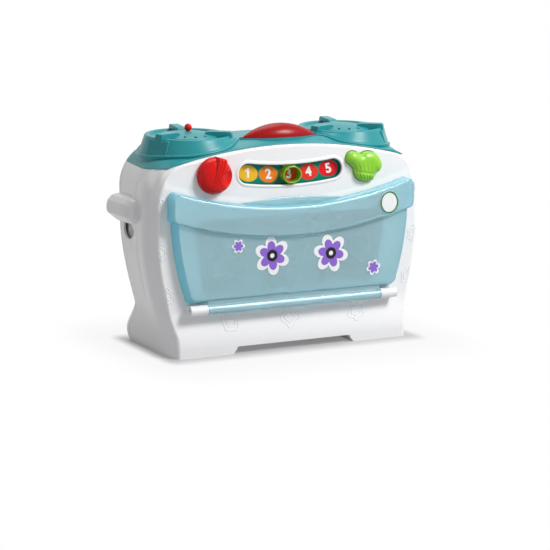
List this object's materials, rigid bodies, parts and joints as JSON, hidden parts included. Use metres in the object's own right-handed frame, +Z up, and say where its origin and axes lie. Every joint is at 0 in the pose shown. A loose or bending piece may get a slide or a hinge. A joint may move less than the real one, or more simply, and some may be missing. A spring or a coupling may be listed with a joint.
{
  "type": "toy oven",
  "caption": "Tabletop play oven with drop-down see-through door, domed hob rings, turning timer knob, sliding number ring and push buttons.",
  "frame": {"origin": "on the floor under the middle of the whole toy's box", "axes": "+Z up, +X to the right seen from the front, the front looks along -Y"},
  "size_m": [0.336, 0.135, 0.2317],
  "materials": {
    "shell_white": "satin moulded plastic",
    "cover_teal": "satin moulded plastic",
    "lens_red": "clear tinted plastic",
    "board_green": "solder mask",
    "panel_green": "gloss plastic",
    "ring_green": "gloss plastic",
    "contact_brass": "stamped",
    "knob_red": "satin plastic",
    "metal": "plain",
    "black_plastic": "matte plastic",
    "button_lime": "satin plastic",
    "ball_red": "gloss plastic",
    "cone_paper": "paper",
    "door_blue": "see-through tinted plastic",
    "liner_white": "matte plastic",
    "battery_grey": "printed sleeve, bare of marks",
    "wire_red": "insulation",
    "wire_black": "insulation"
  },
  "bodies": {
    "case": {"front_shell": "shell_white", "rear_shell": "shell_white", "hob_cover": "cover_teal", "light_lens": "lens_red", "light_board": "board_green", "number_panel": "panel_green", "slider_board": "board_green", "rotary_switch": "black_plastic", "press_spring": "metal", "press_switch": "black_plastic", "control_board": "board_green", "control_board_screws": "metal", "ball_spring": "metal", "ball_switch": "black_plastic", "ball_board": "board_green", "speaker_frame": "black_plastic", "speaker_cone": "cone_paper", "speaker_clamp": "shell_white", "hinge_rod": "metal", "oven_liner": "liner_white", "liner_screws": "metal", "left_grip": "shell_white", "right_grip": "shell_white", "main_board": "board_green", "main_board_screws": "metal", "battery_box": "black_plastic", "batteries": "battery_grey", "battery_contacts": "metal", "battery_door": "shell_white", "battery_door_screw": "metal", "power_switch": "black_plastic", "shell_screws": "metal", "battery_wires": "wire_red", "speaker_wires": "wire_black"},
    "slider": {"slider_ring": "ring_green", "slider_contact": "contact_brass"},
    "knob": {"timer_knob": "knob_red", "knob_shaft": "metal"},
    "press": {"press_button": "button_lime"},
    "ball": {"ball_button": "ball_red"},
    "door": {"door": "door_blue", "door_badge": "shell_white"},
    "power": {"power_knob": "black_plastic"}
  },
  "joints": [
    {"name": "door_hinge", "type": "hinge", "parent": "case", "child": "door", "pos_m": [0, -0.0605, 0.049], "axis": [1, 0, 0], "range_deg": [0, 90]},
    {"name": "knob_turn", "type": "hinge", "parent": "case", "child": "knob", "pos_m": [-0.088, -0.0515, 0.1842], "axis": [0, 1, 0], "range_deg": [-150, 150]},
    {"name": "slider_arc", "type": "hinge", "parent": "case", "child": "slider", "pos_m": [0, -0.0515, 0.5403], "axis": [0, 1, 0], "range_deg": [-7.44, 7.44]},
    {"name": "button_press", "type": "slide", "parent": "case", "child": "press", "axis": [0, 1, 0], "range_m": [0, 0.0025], "stiffness_N_per_m": 400, "deforming": ["press_spring"]},
    {"name": "ball_press", "type": "slide", "parent": "case", "child": "ball", "axis": [0, 0.0436, -0.999], "range_m": [0, 0.002], "stiffness_N_per_m": 400, "deforming": ["ball_spring"]},
    {"name": "power_slide", "type": "slide", "parent": "case", "child": "power", "axis": [1, 0, 0], "range_m": [-0.004, 0.004]}
  ]
}
